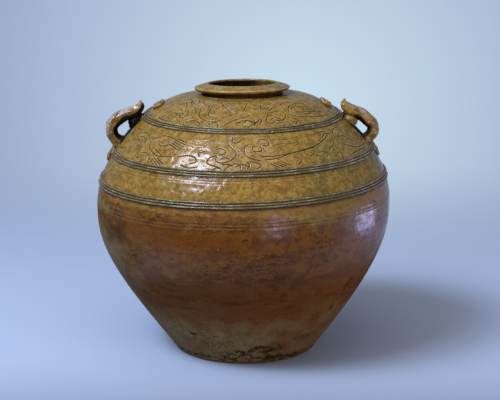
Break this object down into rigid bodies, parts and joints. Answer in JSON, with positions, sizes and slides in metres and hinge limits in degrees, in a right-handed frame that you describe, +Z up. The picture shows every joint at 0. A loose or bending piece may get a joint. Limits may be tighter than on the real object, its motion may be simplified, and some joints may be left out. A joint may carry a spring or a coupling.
{
  "type": "double-lug storage jar",
  "caption": "Broad-shouldered stoneware jar with a low everted lip, two arched strap lugs, raised bands round the shoulder and an ash glaze down to the belly.",
  "frame": {"origin": "centre of the flat foot, on the surface the jar stands on", "axes": "+Z up through the mouth, -Y towards the viewer, lugs on +X and -X"},
  "size_m": [0.35, 0.35, 0.3235],
  "materials": {
    "ash_glaze": "glossy mottled ochre and olive ash glaze",
    "ridge_glaze": "glossy thin glaze, browner on the crests",
    "bare_stoneware": "red-brown fired body with a faint sheen"
  },
  "bodies": {
    "root": {"base_slab": "bare_stoneware", "lower_wall": "bare_stoneware", "shoulder_wall": "ash_glaze", "neck_and_lip": "ash_glaze", "upper_band_strip_1": "ridge_glaze", "upper_band_strip_2": "ridge_glaze", "upper_band_strip_3": "ridge_glaze", "middle_band_strip_1": "ridge_glaze", "middle_band_strip_2": "ridge_glaze", "middle_band_strip_3": "ridge_glaze", "lower_band_strip_1": "ridge_glaze", "lower_band_strip_2": "ridge_glaze", "lower_band_strip_3": "ridge_glaze", "right_lug_handle": "ash_glaze", "right_lug_chin": "ash_glaze", "right_lug_tail": "bare_stoneware", "right_lug_horns": "ash_glaze", "left_lug_handle": "ash_glaze", "left_lug_chin": "ash_glaze", "left_lug_tail": "bare_stoneware", "left_lug_horns": "ash_glaze"}
  },
  "joints": []
}
